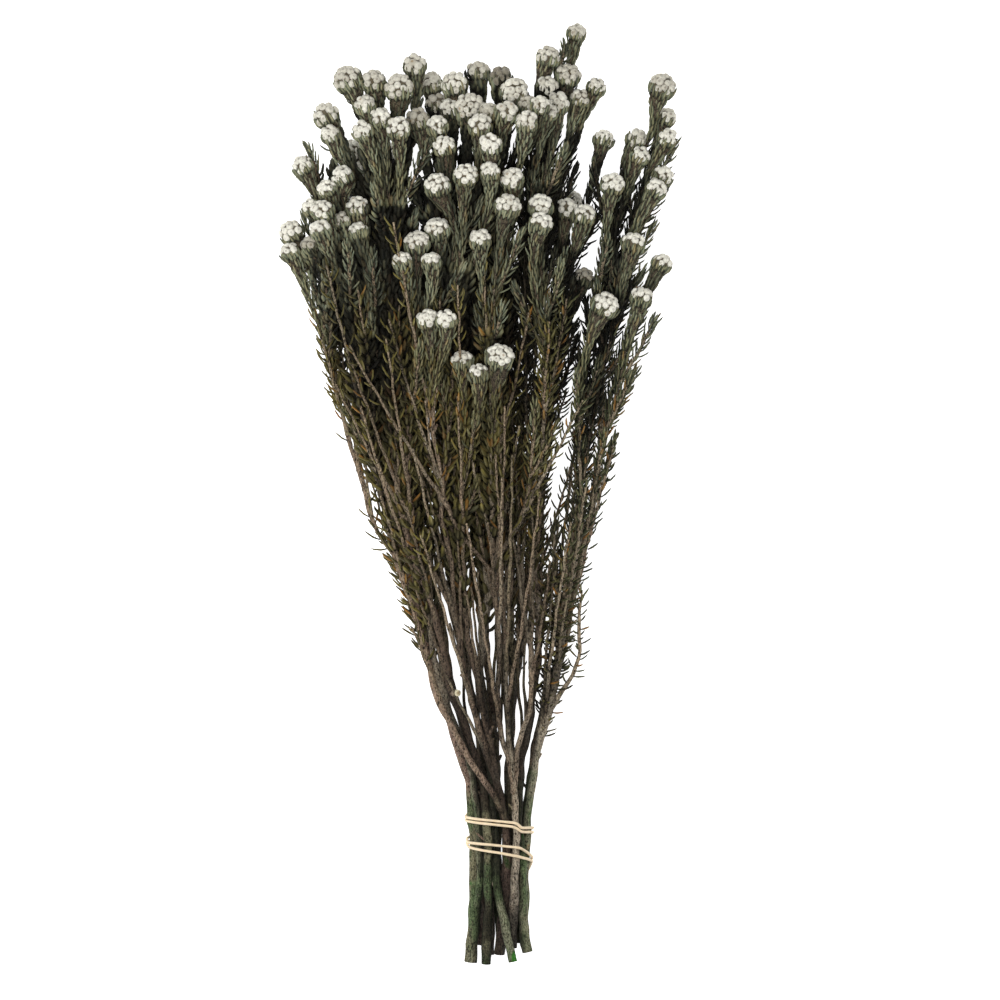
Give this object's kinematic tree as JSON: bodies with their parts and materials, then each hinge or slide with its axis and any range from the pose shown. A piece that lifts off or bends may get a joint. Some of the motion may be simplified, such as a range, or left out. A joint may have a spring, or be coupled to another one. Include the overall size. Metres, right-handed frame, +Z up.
{
  "type": "tied bunch of dried phylica",
  "caption": "Dried phylica bunch lying down: cut woody stems in an elastic tie fan out into leafy shoots, each tipped by a round head of white felted buds.",
  "frame": {"origin": "on the table under the middle of the lying bunch", "axes": "+Y from the cut ends to the heads, +Z up from the table, +X to the right when the heads point away"},
  "size_m": [0.2375, 0.5644, 0.1225],
  "materials": {
    "stems_and_leaves": "matt dried bark and narrow olive to grey-green leaves, moss-green dye at the cut ends",
    "felted_heads": "matt cream-white felt on small round buds",
    "elastic": "cream elastic with a dull sheen"
  },
  "bodies": {
    "root": {"branch_01": "stems_and_leaves", "branch_02": "stems_and_leaves", "branch_03": "stems_and_leaves", "branch_04": "stems_and_leaves", "branch_05": "stems_and_leaves", "branch_06": "stems_and_leaves", "branch_07": "stems_and_leaves", "branch_08": "stems_and_leaves", "branch_09": "stems_and_leaves", "branch_10": "stems_and_leaves", "branch_11": "stems_and_leaves", "branch_12": "stems_and_leaves", "branch_13": "stems_and_leaves", "branch_14": "stems_and_leaves", "head_01": "felted_heads", "head_02": "felted_heads", "head_03": "felted_heads", "head_04": "felted_heads", "head_05": "felted_heads", "head_06": "felted_heads", "head_07": "felted_heads", "head_08": "felted_heads", "head_09": "felted_heads", "head_10": "felted_heads", "head_11": "felted_heads", "head_12": "felted_heads", "head_13": "felted_heads", "head_14": "felted_heads", "head_15": "felted_heads", "head_16": "felted_heads", "head_17": "felted_heads", "head_18": "felted_heads", "head_19": "felted_heads", "head_20": "felted_heads", "head_21": "felted_heads", "head_22": "felted_heads", "head_23": "felted_heads", "head_24": "felted_heads", "head_25": "felted_heads", "head_26": "felted_heads", "head_27": "felted_heads", "head_28": "felted_heads", "head_29": "felted_heads", "head_30": "felted_heads", "head_31": "felted_heads", "head_32": "felted_heads", "head_33": "felted_heads", "head_34": "felted_heads", "head_35": "felted_heads", "head_36": "felted_heads", "head_37": "felted_heads", "head_38": "felted_heads", "head_39": "felted_heads", "head_40": "felted_heads", "head_41": "felted_heads", "head_42": "felted_heads", "head_43": "felted_heads", "head_44": "felted_heads", "head_45": "felted_heads", "tie": "elastic"}
  },
  "joints": []
}
